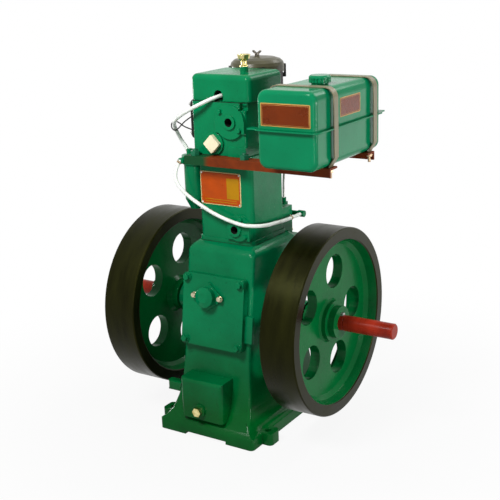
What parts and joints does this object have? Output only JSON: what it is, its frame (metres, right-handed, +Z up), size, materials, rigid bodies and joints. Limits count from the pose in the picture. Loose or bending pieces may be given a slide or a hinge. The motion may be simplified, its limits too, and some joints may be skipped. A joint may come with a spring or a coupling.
{
  "type": "slow speed diesel engine",
  "caption": "Vertical single-cylinder diesel engine on a flared cast base, with two holed flywheels on one turning crankshaft, a strapped side fuel tank, and white fuel tubes.",
  "frame": {"origin": "middle of the base's underside", "axes": "+Z up, +X along the crankshaft to the tank side, -Y towards the crankcase door"},
  "size_m": [1.074, 0.6, 1.194],
  "materials": {
    "green_enamel": "gloss enamel over castings",
    "brass": "plain turned brass",
    "bare_steel": "plated steel, dulled",
    "cream_paint": "cream gloss paint",
    "black_iron": "black paint",
    "grey_paint": "grey-brown satin paint",
    "red_oxide": "red oxide primer",
    "strap_steel": "grey paint",
    "white_tube": "smooth white plastic",
    "red_shaft": "red-brown rust-proofing paint"
  },
  "bodies": {
    "engine": {"crankcase": "green_enamel", "crankcase_door": "green_enamel", "breather_cap": "green_enamel", "sump_box": "green_enamel", "drain_plug": "brass", "bearing_housing_left": "green_enamel", "bearing_housing_right": "green_enamel", "cam_housing": "green_enamel", "pushrod_tubes": "bare_steel", "fuel_pump": "bare_steel", "injector_pipe": "bare_steel", "cylinder_block": "green_enamel", "cylinder_head": "green_enamel", "rocker_cover": "green_enamel", "oil_cup": "brass", "compression_plug": "cream_paint", "head_studs": "green_enamel", "exhaust_flange": "black_iron", "air_cleaner_bowl": "black_iron", "air_cleaner_lid": "grey_paint", "air_cleaner_wing_nut": "bare_steel", "air_cleaner_clips": "bare_steel", "inlet_elbow": "green_enamel", "tank_bracket_front": "red_oxide", "tank_bracket_rear": "red_oxide", "tank_lower": "green_enamel", "tank_upper": "green_enamel", "tank_cap": "green_enamel", "tank_strap_front": "strap_steel", "tank_strap_rear": "strap_steel", "strap_bolts": "bare_steel", "filter_bowl": "green_enamel", "filter_head": "green_enamel", "wire_loop": "black_iron", "return_tube": "white_tube", "fuel_tube": "white_tube"},
    "rotor": {"crankshaft": "red_shaft", "flywheel_left": "green_enamel", "flywheel_right": "green_enamel", "flywheel_keys": "bare_steel"}
  },
  "joints": [
    {"name": "crank_turn", "type": "hinge", "parent": "engine", "child": "rotor", "pos_m": [0, 0, 0.372], "axis": [1, 0, 0], "continuous": true}
  ]
}
